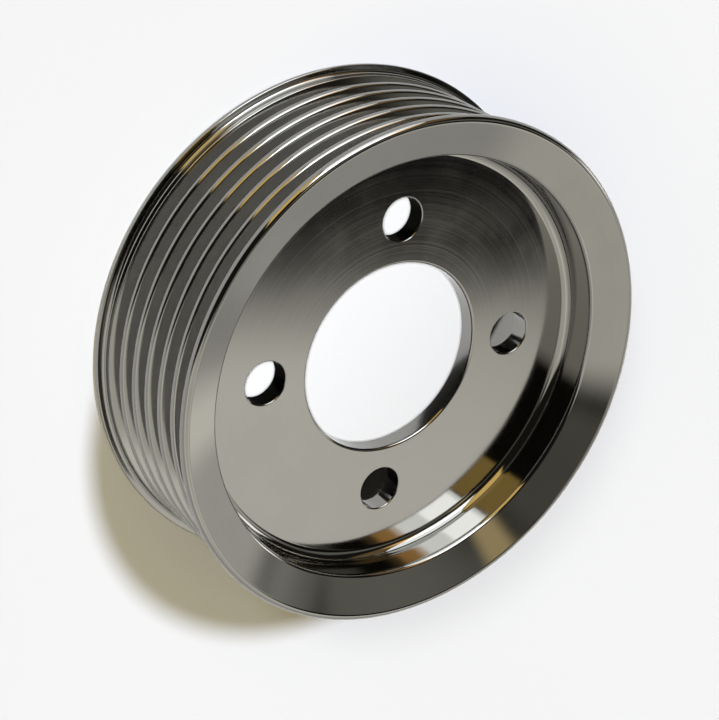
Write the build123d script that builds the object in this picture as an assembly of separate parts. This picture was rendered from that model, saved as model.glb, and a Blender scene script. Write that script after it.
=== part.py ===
from build123d import *
import math
import os

# Ribbed belt pulley, turned from one piece and drilled for four bolts.
# It stands on its back end: the axis is +Z, the back end lies on z = 0 and the
# dished front face is on top. Sizes are in millimetres, angles in degrees.

# Ribbed belt face
crest_radius = 36.83
groove_count = 6
groove_pitch = 3.56
groove_angle = 40.0
crest_rounding = 0.57
root_rounding = 0.4
land_width = 0.7

# Flanges that keep the belt on, one at each end
flange_height = 1.27
flange_foot_rounding = 0.6
flange_flat = 0.32
end_rounding = 0.8

# Rim wall, measured inward from the bottoms of the grooves
front_rim_wall = 2.06
back_rim_wall = 3.31

# Front face, dished towards the recess, and the roundings of both recesses
dish_angle = 22.0
mouth_rounding = 0.8
recess_corner_rounding = 1.6

# Web that joins the rim to the bore
web_depth = 7.5
web_thickness = 3.0
bore_radius = 14.29
bore_chamfer = 0.37

# Bolt holes round the bore
bolt_count = 4
bolt_circle_radius = 20.9
bolt_hole_radius = 3.25
bolt_hole_chamfer = 0.2

# Turned flats that make up each rounding, tangent to its arc, so that the part stays light
crest_flat_count = 3
end_flat_count = 2
hidden_flat_count = 1

# Groove shape: flanks tangent to the rounding of the crest and to that of the root
half_angle = groove_angle / 2
flank_turn = 90 - half_angle
crest_width = 2 * crest_rounding * math.tan(math.radians(flank_turn / 2))
vee_depth = (groove_pitch - crest_width) / 2 / math.tan(math.radians(half_angle))
root_lift = root_rounding * (1 / math.sin(math.radians(half_angle)) - 1)
root_radius = crest_radius - vee_depth + root_lift

# Along the axis: flange, foot, land, grooves, and the same again at the front
flange_radius = crest_radius + flange_height
flange_width = end_rounding + flange_flat
first_groove_edge = flange_width + flange_foot_rounding + land_width
band_width = groove_count * groove_pitch - crest_width
width = band_width + 2 * first_groove_edge

# Recesses and web
front_recess_radius = root_radius - front_rim_wall
back_recess_radius = root_radius - back_rim_wall
web_top = width - web_depth
web_bottom = web_top - web_thickness


def rounding(centre, radius, start, turn, flats):
    """Corners of the flats that follow an arc: they and the lines before and after touch it."""
    step = turn / (flats + 1)
    reach = radius / math.cos(math.radians(step / 2))
    angles = [math.radians(start + step * (index + 0.5)) for index in range(flats + 1)]
    return [(centre[0] + reach * math.cos(a), centre[1] + reach * math.sin(a)) for a in angles]


def back_web():
    """From the bore over the back of the web to the mouth of the back recess."""
    corner = (back_recess_radius - recess_corner_rounding, web_bottom - recess_corner_rounding)
    mouth = (back_recess_radius + mouth_rounding, mouth_rounding)
    return [
        (bore_radius, web_bottom + bore_chamfer),
        (bore_radius + bore_chamfer, web_bottom),
        *rounding(corner, recess_corner_rounding, 90, -90, hidden_flat_count),
        *rounding(mouth, mouth_rounding, 180, 90, hidden_flat_count),
    ]


def back_flange():
    """Flange at the back end, from its outer edge up to the start of the land."""
    edge = (flange_radius - end_rounding, end_rounding)
    foot = (crest_radius + flange_foot_rounding, flange_width + flange_foot_rounding)
    return [
        *rounding(edge, end_rounding, -90, 90, end_flat_count),
        (flange_radius, flange_width),
        *rounding(foot, flange_foot_rounding, -90, -90, hidden_flat_count),
    ]


def front_flange():
    """Flange at the front end, from the end of the land over to the dished face."""
    foot = (crest_radius + flange_foot_rounding, width - flange_width - flange_foot_rounding)
    edge = (flange_radius - end_rounding, width - end_rounding)
    return [
        *rounding(foot, flange_foot_rounding, 180, -90, hidden_flat_count),
        (flange_radius, width - flange_width),
        *rounding(edge, end_rounding, 0, 90, end_flat_count),
        *rounding(edge, end_rounding, 90, dish_angle, 0),
    ]


def grooves():
    """Roots and crests in turn, between the edges of the lands outside the end grooves."""
    corners = [(crest_radius, first_groove_edge)]
    for index in range(groove_count):
        middle = first_groove_edge + (groove_pitch - crest_width) / 2 + index * groove_pitch
        if index > 0:
            crest = (crest_radius - crest_rounding, middle - groove_pitch / 2)
            corners += rounding(crest, crest_rounding, -flank_turn, 2 * flank_turn, crest_flat_count)
        root = (root_radius + root_rounding, middle)
        corners += rounding(root, root_rounding, 180 + flank_turn, -2 * flank_turn, hidden_flat_count)
    return [*corners, (crest_radius, width - first_groove_edge)]


def front_web():
    """From the dished face into the front recess and over the web to the bore."""
    dish = math.radians(dish_angle)
    mouth_radius = front_recess_radius + mouth_rounding
    fall = (flange_radius - end_rounding - mouth_radius) * math.tan(dish)
    lift = (end_rounding - mouth_rounding) / math.cos(dish)
    mouth = (mouth_radius, width - end_rounding - fall + lift)
    corner = (front_recess_radius - recess_corner_rounding, web_top + recess_corner_rounding)
    return [
        *rounding(mouth, mouth_rounding, 90 + dish_angle, 90 - dish_angle, end_flat_count),
        *rounding(corner, recess_corner_rounding, 0, -90, hidden_flat_count),
        (bore_radius + bore_chamfer, web_top),
        (bore_radius, web_top - bore_chamfer),
    ]


def half_section():
    """Closed outline of one half: radius across, height along the axis up."""
    corners = back_web() + back_flange() + grooves() + front_flange() + front_web()
    return make_face(Polyline(corners, close=True))


def bolt_hole():
    """Cutter for one bolt hole through the web, chamfered at both mouths."""
    flare = Cone(bolt_hole_radius, bolt_hole_radius + 2 * bolt_hole_chamfer, 2 * bolt_hole_chamfer)
    front_flare = Pos(0, 0, web_thickness / 2) * flare
    back_flare = mirror(front_flare, Plane.XY)
    return Cylinder(bolt_hole_radius, 2 * web_thickness) + front_flare + back_flare


def make_pulley():
    """Turn the half section about the axis, then drill the bolt holes."""
    turned = revolve(Plane.XZ * half_section(), Axis.Z)
    web_middle = (web_top + web_bottom) / 2
    holes = [Pos(0, 0, web_middle) * place * bolt_hole()
             for place in PolarLocations(bolt_circle_radius, bolt_count)]
    return turned - holes


os.makedirs("parts", exist_ok=True)
pulley = make_pulley()
pulley.label = "pulley"
export_step(pulley, "parts/pulley.step")
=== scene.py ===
import math
from typing import NamedTuple

import bpy
from mathutils import Matrix, Vector
from mathutils.geometry import delaunay_2d_cdt


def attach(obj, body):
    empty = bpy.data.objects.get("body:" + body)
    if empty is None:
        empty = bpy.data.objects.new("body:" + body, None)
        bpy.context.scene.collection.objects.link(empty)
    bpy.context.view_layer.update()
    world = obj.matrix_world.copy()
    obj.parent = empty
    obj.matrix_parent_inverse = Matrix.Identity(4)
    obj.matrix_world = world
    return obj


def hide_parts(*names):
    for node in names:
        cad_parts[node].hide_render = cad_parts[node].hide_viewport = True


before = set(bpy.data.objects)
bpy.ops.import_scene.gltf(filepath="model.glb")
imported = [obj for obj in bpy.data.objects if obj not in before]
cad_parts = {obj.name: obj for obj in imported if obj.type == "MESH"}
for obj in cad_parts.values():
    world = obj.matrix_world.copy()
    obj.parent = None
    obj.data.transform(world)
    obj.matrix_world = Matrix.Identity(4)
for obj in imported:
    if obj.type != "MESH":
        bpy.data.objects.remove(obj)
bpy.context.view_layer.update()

# Ribbed belt pulley on its back end, axis up. Its sizes, in metres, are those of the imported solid.
# Edges of lands, tips of flanges and mouths of holes are rounded here, sharp or chamfered there.
MM = 0.001
CREST_RADIUS = 36.83 * MM
GROOVE_COUNT = 6
GROOVE_PITCH = 3.56 * MM
HALF_GROOVE_ANGLE = math.radians(20)
CREST_ROUNDING = 0.57 * MM
ROOT_ROUNDING = 0.4 * MM
LAND_WIDTH = 0.7 * MM
LAND_EDGE_ROUNDING = 0.22 * MM
FLANGE_HEIGHT = 1.27 * MM
FLANGE_FOOT_ROUNDING = 0.6 * MM
FLANGE_TIP_ROUNDING = 0.22 * MM
FLANGE_FLAT = 0.1 * MM
END_ROUNDING = 0.8 * MM
FRONT_RIM_WALL = 2.06 * MM
BACK_RIM_WALL = 3.31 * MM
DISH_ANGLE = math.radians(22)
MOUTH_ROUNDING = 0.8 * MM
CORNER_ROUNDING = 1.6 * MM
WEB_DEPTH = 7.5 * MM
WEB_THICKNESS = 3.0 * MM
BORE_RADIUS = 14.29 * MM
BORE_EDGE = 0.37 * MM
BOLT_COUNT = 4
BOLT_CIRCLE_RADIUS = 20.9 * MM
BOLT_HOLE_RADIUS = 3.25 * MM
BOLT_HOLE_EDGE = 0.2 * MM

# Worked out as on the solid
QUARTER = math.pi / 2
FLANK_TURN = QUARTER - HALF_GROOVE_ANGLE
CREST_WIDTH = 2 * CREST_ROUNDING * math.tan(FLANK_TURN / 2)
VEE_DEPTH = (GROOVE_PITCH - CREST_WIDTH) / 2 / math.tan(HALF_GROOVE_ANGLE)
ROOT_RADIUS = CREST_RADIUS - VEE_DEPTH + ROOT_ROUNDING * (1 / math.sin(HALF_GROOVE_ANGLE) - 1)
FLANGE_RADIUS = CREST_RADIUS + FLANGE_HEIGHT
FLANGE_WIDTH = END_ROUNDING + FLANGE_FLAT + FLANGE_TIP_ROUNDING
FIRST_GROOVE_EDGE = FLANGE_WIDTH + FLANGE_FOOT_ROUNDING + LAND_WIDTH
WIDTH = GROOVE_COUNT * GROOVE_PITCH - CREST_WIDTH + 2 * FIRST_GROOVE_EDGE
FRONT_RECESS_RADIUS = ROOT_RADIUS - FRONT_RIM_WALL
BACK_RECESS_RADIUS = ROOT_RADIUS - BACK_RIM_WALL
WEB_TOP = WIDTH - WEB_DEPTH
WEB_BOTTOM = WEB_TOP - WEB_THICKNESS

# How finely the surfaces are divided
RIM_STEPS = 272
HOLE_STEPS = 72
ARC_STEP = math.radians(9)

# How close two places are to count as one: ends of stretches, places of rings by their decimals in
# metres, and corners of the filled web in millimetres
TOUCHING = 0.0001 * MM
RING_DECIMALS = 8
FILL_TOLERANCE = 1e-6

# What Blender's triangulation gives: triangles over all that the outermost ring surrounds
CONVEX_HULL = 0

# Plated steel: fine lathe marks, broad turning rings and faint clouds, as noise of these scales.
# Roughness and tone run from end to end between the sums of noise that are named with AT.
MARK_SCALE = 7000.0
TURN_SCALE = 2600.0
CLOUD_SCALE = 90.0
MARKS_IN_TONE = 0.5
MARKS_IN_BUMP = 0.3
BUMP_STRENGTH = 0.15
BUMP_HEIGHT = 0.005 * MM
SMOOTHEST = 0.055
ROUGHEST = 0.10
SMOOTH_AT = 0.7
ROUGH_AT = 1.3
DARK_AT = 0.5
LIGHT_AT = 1.0
DARKER_METAL = (0.265, 0.260, 0.245)
LIGHTER_METAL = (0.285, 0.280, 0.264)
STREAK_STRENGTH = 0.9
STREAK_TURN = 0.25

# Pale floor, in two parts that meet under the rim, and the share of light that it gives back
FLOOR_RADIUS = 2.5
FLOOR_SEAM_RADIUS = (BACK_RECESS_RADIUS + FLANGE_RADIUS) / 2
FLOOR_PALENESS = 0.82
FLOOR_CLOUD_SCALE = 9.0
DARKER_FLOOR = (0.795, 0.80, 0.81)
LIGHTER_FLOOR = (0.835, 0.84, 0.85)
FLOOR_ROUGHNESS = 0.9
FLOOR_SHINE = 0.1

# Camera, where the photograph was taken from, with its lens in millimetres
CAMERA_PLACE = Vector((135.635, 179.785, 263.459)) * MM
CAMERA_FORWARD = Vector((-0.40908501, -0.52826685, -0.74403198))
CAMERA_ROLL = math.radians(-124.518)
CAMERA_LENS = 117.370
SENSOR_WIDTH = 36.0
NEAREST_SEEN = 0.01

# Lamps: distance of the mirror cards, tint of the window's panes, size and soft edge of the snoot
CARD_DISTANCE = 1.2
PANE_TINT = (0.95, 1.0, 1.06)
SNOOT_SIZE = 5 * MM
SNOOT_BLEND = 0.1

# Room that the metal mirrors: dark, with a pale band from below up to the horizon's top in degrees
ROOM = (0.02, 0.019, 0.016)
HORIZON = (0.93, 0.92, 0.89)
HORIZON_TOP = 6.0
HORIZON_SOFTNESS = 2.0

# One edge of the dark flag is slanted: it lies across this direction, and fades over this range
SLANT_DIRECTION = (0.918, -0.119, 0.378)
SLANT_START = -0.035
SLANT_END = 0.022


class Panel(NamedTuple):
    """Soft panel of the room, in degrees: azimuth is round +Z from +X, low and high are elevations."""

    name: str
    azimuth: float
    half_width: float
    low: float
    high: float
    softness: float
    tint: tuple
    slanted: bool = False


# Later panels are in front of earlier ones
PANELS = [
    Panel("low_card", 168, 70, -20, 34, 5, (0.73, 0.72, 0.685)),
    Panel("side_card", 250, 12, -20, 44, 3, (0.97, 0.95, 0.89)),
    Panel("grey_card", 168, 72, 28, 75, 4, (1.05, 1.025, 0.935)),
    Panel("web_card", 225, 10, 40, 56, 4, (1.36, 1.33, 1.24)),
    Panel("high_card", 278, 16, 36, 77, 5, (0.31, 0.305, 0.27)),
    Panel("side_glow", 266, 4, 33, 40, 3.5, (0.52, 0.51, 0.475)),
    Panel("dark_flag", 248, 24, 44, 66, 2, (0.01, 0.01, 0.01), slanted=True),
    Panel("bright_edge", 243.5, 2.5, 8, 22, 2, (1.5, 1.47, 1.36)),
    Panel("wall_glow", 143, 42, 41, 50, 2, (1.5, 1.47, 1.36)),
    Panel("gold_card", 25.5, 12, 6, 50, 1.5, (1.75, 1.20, 0.37)),
    Panel("brown_card", -36, 8, 8, 60, 3, (0.33, 0.22, 0.10)),
    Panel("brown_glow", -31.5, 6.5, 38, 50, 2, (2.4, 1.3, 0.40)),
    Panel("small_window", 269, 5, 9, 27, 2, (3.1, 3.1, 3.0)),
    Panel("gold_strip", 294, 25, 72.4, 77.2, 1.4, (0.92, 0.72, 0.38)),
    Panel("ceiling", 230, 100, 79, 90, 3, (0.17, 0.167, 0.147)),
]


def arc(centre, radius, start, turn):
    """Points of an arc in the half section, each with the outward normal of the metal there."""
    count = max(2, math.ceil(abs(turn) / ARC_STEP))
    side = 1 if turn > 0 else -1
    points = []
    for index in range(count + 1):
        angle = start + turn * index / count
        across, up = math.cos(angle), math.sin(angle)
        place = (centre[0] + radius * across, centre[1] + radius * up)
        points.append((place, (side * across, side * up)))
    return points


def straight(start, end):
    """The two ends of a straight stretch, with its outward normal: metal lies to the left."""
    across, up = end[0] - start[0], end[1] - start[1]
    length = math.hypot(across, up)
    normal = (up / length, -across / length)
    return [(start, normal), (end, normal)]


def joined(pieces):
    """The pieces in order, with a straight stretch wherever two of them don't touch."""
    stretches = []
    for piece, following in zip(pieces, pieces[1:]):
        stretches.append(piece)
        start, end = piece[-1][0], following[0][0]
        if math.dist(start, end) > TOUCHING:
            stretches.append(straight(start, end))
    return stretches + [pieces[-1]]


def groove_arcs():
    """Round roots and crests in turn, with the land edges outside the end grooves."""
    land = CREST_RADIUS - LAND_EDGE_ROUNDING
    setback = LAND_EDGE_ROUNDING * math.tan(FLANK_TURN / 2)
    arcs = [arc((land, FIRST_GROOVE_EDGE - setback), LAND_EDGE_ROUNDING, 0, FLANK_TURN)]
    for index in range(GROOVE_COUNT):
        middle = FIRST_GROOVE_EDGE + (GROOVE_PITCH - CREST_WIDTH) / 2 + index * GROOVE_PITCH
        if index > 0:
            crest = (CREST_RADIUS - CREST_ROUNDING, middle - GROOVE_PITCH / 2)
            arcs.append(arc(crest, CREST_ROUNDING, -FLANK_TURN, 2 * FLANK_TURN))
        root = (ROOT_RADIUS + ROOT_ROUNDING, middle)
        arcs.append(arc(root, ROOT_ROUNDING, math.pi + FLANK_TURN, -2 * FLANK_TURN))
    last = (land, WIDTH - FIRST_GROOVE_EDGE + setback)
    return arcs + [arc(last, LAND_EDGE_ROUNDING, -FLANK_TURN, FLANK_TURN)]


def outer_outline():
    """Half section from the back of the web round the rim to the front of the web."""
    edge = FLANGE_RADIUS - END_ROUNDING
    tip = FLANGE_RADIUS - FLANGE_TIP_ROUNDING
    foot = CREST_RADIUS + FLANGE_FOOT_ROUNDING
    foot_height = FLANGE_WIDTH + FLANGE_FOOT_ROUNDING
    tip_height = FLANGE_WIDTH - FLANGE_TIP_ROUNDING
    back_corner = (BACK_RECESS_RADIUS - CORNER_ROUNDING, WEB_BOTTOM - CORNER_ROUNDING)
    back_mouth = (BACK_RECESS_RADIUS + MOUTH_ROUNDING, MOUTH_ROUNDING)
    mouth_radius = FRONT_RECESS_RADIUS + MOUTH_ROUNDING
    fall = (edge - mouth_radius) * math.tan(DISH_ANGLE)
    lift = (END_ROUNDING - MOUTH_ROUNDING) / math.cos(DISH_ANGLE)
    front_mouth = (mouth_radius, WIDTH - END_ROUNDING - fall + lift)
    front_corner = (FRONT_RECESS_RADIUS - CORNER_ROUNDING, WEB_TOP + CORNER_ROUNDING)
    return joined([
        arc(back_corner, CORNER_ROUNDING, QUARTER, -QUARTER),
        arc(back_mouth, MOUTH_ROUNDING, math.pi, QUARTER),
        arc((edge, END_ROUNDING), END_ROUNDING, -QUARTER, QUARTER),
        arc((tip, tip_height), FLANGE_TIP_ROUNDING, 0, QUARTER),
        arc((foot, foot_height), FLANGE_FOOT_ROUNDING, -QUARTER, -QUARTER),
        *groove_arcs(),
        arc((foot, WIDTH - foot_height), FLANGE_FOOT_ROUNDING, math.pi, -QUARTER),
        arc((tip, WIDTH - tip_height), FLANGE_TIP_ROUNDING, -QUARTER, QUARTER),
        arc((edge, WIDTH - END_ROUNDING), END_ROUNDING, 0, QUARTER + DISH_ANGLE),
        arc(front_mouth, MOUTH_ROUNDING, QUARTER + DISH_ANGLE, QUARTER - DISH_ANGLE),
        arc(front_corner, CORNER_ROUNDING, 0, -QUARTER),
    ])


def hole_outline(radius, edge):
    """Half section of a hole through the web, with a rounding of the given size at both mouths."""
    front = arc((radius + edge, WEB_TOP - edge), edge, QUARTER, QUARTER)
    back = arc((radius + edge, WEB_BOTTOM + edge), edge, math.pi, QUARTER)
    return joined([front, back])


def spokes(count):
    """Cosine and sine of each of so many equal steps round a full turn."""
    angles = [2 * math.pi * step / count for step in range(count)]
    return [(math.cos(angle), math.sin(angle)) for angle in angles]


def swung(normal, spoke):
    """Normal of a half section, swung round to a spoke."""
    across, up = normal
    return across * spoke[0], across * spoke[1], up


class Surface:
    """Vertices, faces and exact normals at face corners, gathered before the mesh is made."""

    def __init__(self):
        self.vertices = []
        self.faces = []
        self.normals = []
        self.rings = {}

    def ring(self, place, centre, steps):
        """Indices of the ring that a point of a half section makes, made once."""
        radius, height = place
        key = (round(radius, RING_DECIMALS), round(height, RING_DECIMALS), centre)
        if key not in self.rings:
            first = len(self.vertices)
            for across, along in spokes(steps):
                vertex = (centre[0] + radius * across, centre[1] + radius * along, height)
                self.vertices.append(vertex)
            self.rings[key] = list(range(first, first + steps))
        return self.rings[key]

    def turn(self, outline, centre, steps):
        """Turn each stretch of the outline about the upright line through the centre."""
        wheel = spokes(steps)
        for stretch in outline:
            for (low, low_normal), (high, high_normal) in zip(stretch, stretch[1:]):
                below = self.ring(low, centre, steps)
                above = self.ring(high, centre, steps)
                for step in range(steps):
                    after = (step + 1) % steps
                    self.faces.append((below[step], below[after], above[after], above[step]))
                    self.normals.append(swung(low_normal, wheel[step]))
                    self.normals.append(swung(low_normal, wheel[after]))
                    self.normals.append(swung(high_normal, wheel[after]))
                    self.normals.append(swung(high_normal, wheel[step]))

    def fill(self, rings, holes, facing):
        """Flat face between the rings of the web, with a gap at each round hole."""
        indices = [index for ring in rings for index in ring]
        order = {index: place for place, index in enumerate(indices)}
        flat = [Vector(self.vertices[index][:2]) / MM for index in indices]
        edges = []
        for ring in rings:
            for start, end in zip(ring, ring[1:] + ring[:1]):
                edges.append((order[start], order[end]))
        filled = delaunay_2d_cdt(flat, edges, [], CONVEX_HULL, FILL_TOLERANCE)
        corners, _, faces, origins, _, _ = filled
        for face in faces:
            middle = sum((corners[corner] for corner in face), Vector((0, 0))) / len(face) * MM
            if any(math.dist(middle, centre) < radius for centre, radius in holes):
                continue
            turned = [indices[origins[corner][0]] for corner in face]
            self.faces.append(tuple(turned if facing > 0 else reversed(turned)))
            self.normals.extend([(0, 0, facing)] * len(turned))


def pulley_mesh():
    """The whole turned and drilled piece as one closed mesh with exact normals."""
    surface = Surface()
    axis = (0, 0)
    rim = outer_outline()
    surface.turn(rim, axis, RIM_STEPS)
    holes = [(axis, BORE_RADIUS, BORE_EDGE, RIM_STEPS)]
    for across, along in spokes(BOLT_COUNT):
        centre = (BOLT_CIRCLE_RADIUS * across, BOLT_CIRCLE_RADIUS * along)
        holes.append((centre, BOLT_HOLE_RADIUS, BOLT_HOLE_EDGE, HOLE_STEPS))
    for centre, radius, edge, steps in holes:
        surface.turn(hole_outline(radius, edge), centre, steps)
    front_corner, back_corner = rim[-1][-1][0], rim[0][0][0]
    gaps = [(centre, radius + edge) for centre, radius, edge, _ in holes]
    for height, corner, facing in ((WEB_TOP, front_corner, 1), (WEB_BOTTOM, back_corner, -1)):
        rings = [surface.ring(corner, axis, RIM_STEPS)]
        for centre, radius, edge, steps in holes:
            rings.append(surface.ring((radius + edge, height), centre, steps))
        surface.fill(rings, gaps, facing)
    mesh = bpy.data.meshes.new("turned_pulley")
    mesh.from_pydata(surface.vertices, [], surface.faces)
    mesh.polygons.foreach_set("use_smooth", [True] * len(mesh.polygons))
    mesh.normals_split_custom_set(surface.normals)
    return mesh


class Nodes:
    """A node tree, built by adding nodes whose inputs are numbers, colours or nodes' outputs."""

    # Places of the sockets that Blender's Mix node uses for colours
    SHARE, FIRST, SECOND, MIXED = 0, 6, 7, 2

    def __init__(self, tree):
        self.tree = tree
        tree.nodes.clear()

    def add(self, kind, inputs=(), **settings):
        """New node: settings are its properties, inputs go by name or by place."""
        node = self.tree.nodes.new(kind)
        for name, value in settings.items():
            setattr(node, name, value)
        pairs = inputs.items() if isinstance(inputs, dict) else enumerate(inputs)
        for socket, value in pairs:
            if isinstance(value, bpy.types.NodeSocket):
                self.tree.links.new(value, node.inputs[socket])
            else:
                node.inputs[socket].default_value = value
        return node

    def math(self, operation, *values):
        """Result of one operation on numbers."""
        return self.add("ShaderNodeMath", values, operation=operation).outputs[0]

    def length(self, across, along):
        """Length of the vector with these two parts."""
        squares = [self.math("MULTIPLY", part, part) for part in (across, along)]
        return self.math("SQRT", self.math("ADD", *squares))

    def ramp(self, value, start, end, low=0.0, high=1.0):
        """Smooth step of the value from low at start to high at end."""
        inputs = {"Value": value, "From Min": start, "From Max": end, "To Min": low, "To Max": high}
        return self.add("ShaderNodeMapRange", inputs, interpolation_type="SMOOTHSTEP").outputs[0]

    def noise(self, place, scale, detail=2.0, roughness=0.5):
        """Soft noise round one half."""
        inputs = {"Vector": place, "Scale": scale, "Detail": detail, "Roughness": roughness}
        return self.add("ShaderNodeTexNoise", inputs).outputs["Fac"]

    def mix(self, share, first, second):
        """Colour between the first and the second."""
        inputs = {self.SHARE: share, self.FIRST: first, self.SECOND: second}
        return self.add("ShaderNodeMix", inputs, data_type="RGBA").outputs[self.MIXED]


def plated_steel():
    """Bright plated steel with fine concentric marks from the lathe."""
    material = bpy.data.materials.new("plated_steel")
    material.use_nodes = True
    nodes = Nodes(material.node_tree)
    place = nodes.add("ShaderNodeTexCoord").outputs["Object"]
    x, y, height = nodes.add("ShaderNodeSeparateXYZ", [place]).outputs
    ring = nodes.add("ShaderNodeCombineXYZ", [nodes.length(x, y), height, 0.0]).outputs[0]
    fine = nodes.noise(ring, MARK_SCALE, detail=3.0, roughness=0.6)
    broad = nodes.noise(ring, TURN_SCALE, detail=1.0)
    cloud = nodes.noise(place, CLOUD_SCALE, detail=4.0, roughness=0.55)
    roughness = nodes.ramp(nodes.math("ADD", fine, cloud), SMOOTH_AT, ROUGH_AT, SMOOTHEST, ROUGHEST)
    tone = nodes.math("ADD", nodes.math("MULTIPLY", fine, MARKS_IN_TONE), cloud)
    lightness = nodes.ramp(tone, DARK_AT, LIGHT_AT)
    colour = nodes.mix(lightness, (*DARKER_METAL, 1), (*LIGHTER_METAL, 1))
    marks = nodes.math("ADD", nodes.math("MULTIPLY", fine, MARKS_IN_BUMP), broad)
    bump = nodes.add("ShaderNodeBump", {
        "Strength": BUMP_STRENGTH, "Distance": BUMP_HEIGHT, "Height": marks})
    tangent = nodes.add("ShaderNodeTangent", direction_type="RADIAL", axis="Z").outputs[0]
    shader = nodes.add("ShaderNodeBsdfPrincipled", {
        "Base Color": colour, "Metallic": 1.0, "Roughness": roughness,
        "Anisotropic": STREAK_STRENGTH, "Anisotropic Rotation": STREAK_TURN,
        "Normal": bump.outputs[0], "Tangent": tangent})
    nodes.add("ShaderNodeOutputMaterial", [shader.outputs[0]])
    return material


def floor_material():
    """Plain pale studio floor with the faintest unevenness."""
    material = bpy.data.materials.new("pale_floor")
    material.use_nodes = True
    nodes = Nodes(material.node_tree)
    place = nodes.add("ShaderNodeTexCoord").outputs["Object"]
    cloud = nodes.noise(place, FLOOR_CLOUD_SCALE)
    colour = nodes.mix(cloud, (*DARKER_FLOOR, 1), (*LIGHTER_FLOOR, 1))
    shader = nodes.add("ShaderNodeBsdfPrincipled", {
        "Base Color": colour, "Roughness": FLOOR_ROUGHNESS, "Specular IOR Level": FLOOR_SHINE})
    nodes.add("ShaderNodeOutputMaterial", [shader.outputs[0]])
    return material


def floor_part(name, inner, outer, material):
    """Flat ring of floor between two radii, or a disc where the inner one is zero."""
    wheel = spokes(RIM_STEPS)
    vertices = [(outer * across, outer * along, 0) for across, along in wheel]
    faces = [tuple(range(RIM_STEPS))]
    if inner > 0:
        vertices += [(inner * across, inner * along, 0) for across, along in wheel]
        faces = []
        for step in range(RIM_STEPS):
            after = (step + 1) % RIM_STEPS
            faces.append((step, after, after + RIM_STEPS, step + RIM_STEPS))
    mesh = bpy.data.meshes.new(name)
    mesh.from_pydata(vertices, [], faces)
    mesh.materials.append(material)
    part = bpy.data.objects.new(name, mesh)
    bpy.context.scene.collection.objects.link(part)
    return part


def studio_world():
    """Dark room above a pale horizon, with soft panels. The metal mirrors it; it lights nothing."""
    world = bpy.data.worlds.new("studio")
    world.use_nodes = True
    nodes = Nodes(world.node_tree)
    direction = nodes.add("ShaderNodeTexCoord").outputs["Generated"]
    x, y, z = nodes.add("ShaderNodeSeparateXYZ", [direction]).outputs
    flat = nodes.length(x, y)
    elevation = nodes.math("DEGREES", nodes.math("ARCTAN2", z, flat))
    colour = (*ROOM, 1)
    for panel in PANELS:
        across = nodes.math("MULTIPLY", x, math.cos(math.radians(panel.azimuth)))
        along = nodes.math("MULTIPLY", y, math.sin(math.radians(panel.azimuth)))
        cosine = nodes.math("DIVIDE", nodes.math("ADD", across, along), flat)
        away = nodes.math("DEGREES", nodes.math("ARCCOSINE", cosine))
        soft = panel.softness
        inside = nodes.ramp(away, panel.half_width + soft, panel.half_width - soft)
        above = nodes.ramp(elevation, panel.low - soft, panel.low + soft)
        below = nodes.ramp(elevation, panel.high + soft, panel.high - soft)
        share = nodes.math("MULTIPLY", inside, nodes.math("MULTIPLY", above, below))
        if panel.slanted:
            vectors = [direction, SLANT_DIRECTION]
            slant = nodes.add("ShaderNodeVectorMath", vectors, operation="DOT_PRODUCT")
            past_edge = nodes.ramp(slant.outputs["Value"], SLANT_START, SLANT_END)
            share = nodes.math("MULTIPLY", share, past_edge)
        colour = nodes.mix(share, colour, (*panel.tint, 1))
        colour.node.label = panel.name
    horizon = nodes.ramp(elevation, HORIZON_TOP + HORIZON_SOFTNESS, HORIZON_TOP - HORIZON_SOFTNESS)
    colour = nodes.mix(horizon, colour, (*HORIZON, 1))
    shader = nodes.add("ShaderNodeBackground", [colour, 1.0])
    nodes.add("ShaderNodeOutputWorld", [shader.outputs[0]])
    world.cycles_visibility.diffuse = False
    bpy.context.scene.world = world


def outward_direction(azimuth, elevation):
    """Unit vector towards an azimuth and an elevation, both in degrees."""
    turn, lift = math.radians(azimuth), math.radians(elevation)
    return Vector((math.cos(turn) * math.cos(lift), math.sin(turn) * math.cos(lift), math.sin(lift)))


def placed_lamp(name, lamp, place, outward):
    """Object for a lamp at the place, shining against the outward direction."""
    holder = bpy.data.objects.new(name, lamp)
    holder.location = place
    holder.rotation_mode = "QUATERNION"
    holder.rotation_quaternion = outward.to_track_quat("Z", "Y")
    bpy.context.scene.collection.objects.link(holder)
    return holder


def sun(name, receivers, azimuth, elevation, spread, floor_level):
    """Distant soft lamp that adds the given brightness to the receivers and isn't mirrored."""
    lamp = bpy.data.lights.new(name, "SUN")
    lamp.angle = math.radians(spread)
    strongest = max(floor_level)
    lamp.color = [level / strongest for level in floor_level]
    lamp.energy = math.pi * strongest / FLOOR_PALENESS / math.sin(math.radians(elevation))
    outward = outward_direction(azimuth, elevation)
    holder = placed_lamp(name, lamp, outward, outward)
    holder.visible_glossy = False
    holder.light_linking.receiver_collection = receivers


def mirror_card(name, azimuth, half_width, low, high, level, tint):
    """Bright upright card that shows only in the metal, with its half width and elevations."""
    width = 2 * CARD_DISTANCE * math.tan(math.radians(half_width))
    bottom = CARD_DISTANCE * math.tan(math.radians(low))
    top = CARD_DISTANCE * math.tan(math.radians(high))
    lamp = bpy.data.lights.new(name, "AREA")
    lamp.shape = "RECTANGLE"
    lamp.size = width
    lamp.size_y = top - bottom
    lamp.energy = level * math.pi * width * (top - bottom)
    lamp.color = tint
    outward = outward_direction(azimuth, 0)
    middle = outward * CARD_DISTANCE + Vector((0, 0, WEB_TOP + (bottom + top) / 2))
    holder = placed_lamp(name, lamp, middle, outward)
    holder.visible_diffuse = False


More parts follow.
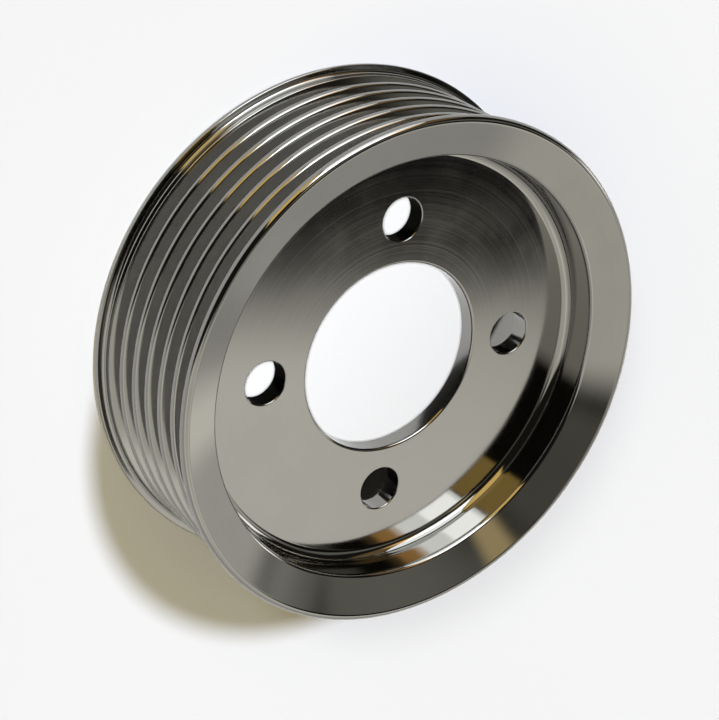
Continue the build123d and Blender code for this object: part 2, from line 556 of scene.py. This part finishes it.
def snoot(name, power):
    """Narrow lamp at the camera's place that lights the floor seen through bore and bolt holes."""
    web_middle = Vector((0, 0, (WEB_TOP + WEB_BOTTOM) / 2))
    outward = CAMERA_PLACE - web_middle
    reach = BOLT_CIRCLE_RADIUS + 2 * BOLT_HOLE_RADIUS
    lamp = bpy.data.lights.new(name, "SPOT")
    lamp.energy = power
    lamp.shadow_soft_size = SNOOT_SIZE
    lamp.spot_blend = SNOOT_BLEND
    lamp.spot_size = 2 * math.atan(reach / outward.length)
    holder = placed_lamp(name, lamp, CAMERA_PLACE, outward)
    holder.visible_glossy = False


def photo_camera():
    """Camera at the photograph's place, with its lens and roll."""
    forward = CAMERA_FORWARD.normalized()
    level = forward.cross(Vector((0, 0, 1))).normalized()
    up = math.sin(CAMERA_ROLL) * level + math.cos(CAMERA_ROLL) * level.cross(forward)
    turn = Matrix((forward.cross(up), up, -forward)).transposed()
    data = bpy.data.cameras.new("camera")
    data.lens = CAMERA_LENS
    data.sensor_width = SENSOR_WIDTH
    data.clip_start = NEAREST_SEEN
    camera = bpy.data.objects.new("camera", data)
    camera.matrix_world = Matrix.Translation(CAMERA_PLACE) @ turn.to_4x4()
    bpy.context.scene.collection.objects.link(camera)
    bpy.context.scene.camera = camera


pulley = bpy.data.objects.new("turned_pulley", pulley_mesh())
bpy.context.scene.collection.objects.link(pulley)
pulley.data.materials.append(plated_steel())
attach(pulley, "root")
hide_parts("pulley")

floor_paint = floor_material()
floor_part("floor_inside", 0, FLOOR_SEAM_RADIUS, floor_paint)
open_floor = bpy.data.collections.new("open_floor")
open_floor.objects.link(floor_part("floor", FLOOR_SEAM_RADIUS, FLOOR_RADIUS, floor_paint))

studio_world()
sun("key", open_floor, azimuth=0, elevation=57.5, spread=8, floor_level=(0.54, 0.575, 0.675))
sun("front", open_floor, azimuth=46, elevation=36.5, spread=10, floor_level=(0.12, 0.12, 0.12))
sun("fill", open_floor, azimuth=70, elevation=60, spread=80, floor_level=(0.26, 0.22, 0.11))
mirror_card("window", azimuth=-8, half_width=20, low=8, high=60, level=2.8, tint=(0.97, 1.0, 1.02))
mirror_card("window_core", azimuth=-6.5, half_width=18.4, low=38, high=51, level=4.6, tint=PANE_TINT)
mirror_card("window_pane", azimuth=0, half_width=9.5, low=38, high=51, level=3.8, tint=PANE_TINT)
snoot("bore_light", power=7.4)
photo_camera()
bpy.context.scene.view_settings.view_transform = "Standard"
